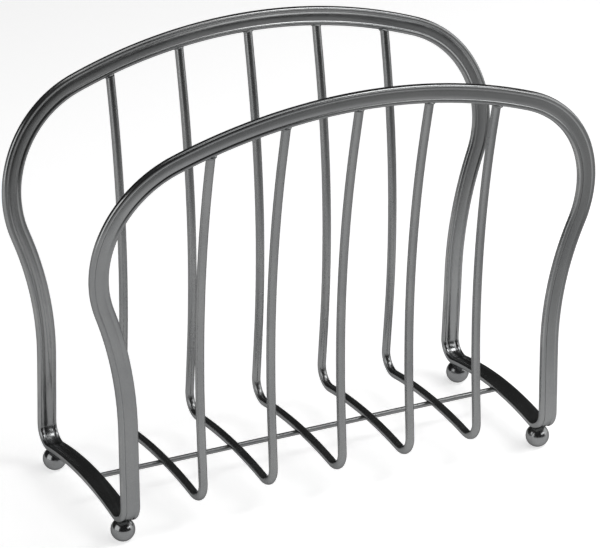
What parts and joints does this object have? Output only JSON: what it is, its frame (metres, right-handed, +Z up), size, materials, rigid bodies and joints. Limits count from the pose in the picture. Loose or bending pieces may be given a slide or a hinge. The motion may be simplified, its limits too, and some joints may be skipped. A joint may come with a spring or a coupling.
{
  "type": "magazine holder",
  "caption": "Free-standing welded steel magazine rack: two balloon-shaped fluted strip hoops joined by U-shaped wires and a base rod, on ball feet.",
  "frame": {"origin": "on the floor, under the middle of the rack", "axes": "+X to the right along the hoops, seen from the front; +Y to the rear; +Z up"},
  "size_m": [0.3442, 0.1584, 0.2774],
  "materials": {
    "graphite_paint": "satin"
  },
  "bodies": {
    "root": {"front_hoop": "graphite_paint", "rear_hoop": "graphite_paint", "left_outer_wire": "graphite_paint", "left_inner_wire": "graphite_paint", "centre_wire": "graphite_paint", "right_inner_wire": "graphite_paint", "right_outer_wire": "graphite_paint", "base_rod": "graphite_paint", "front_left_foot": "graphite_paint", "front_right_foot": "graphite_paint", "rear_left_foot": "graphite_paint", "rear_right_foot": "graphite_paint", "front_wire_welds": "graphite_paint", "rear_wire_welds": "graphite_paint"}
  },
  "joints": []
}
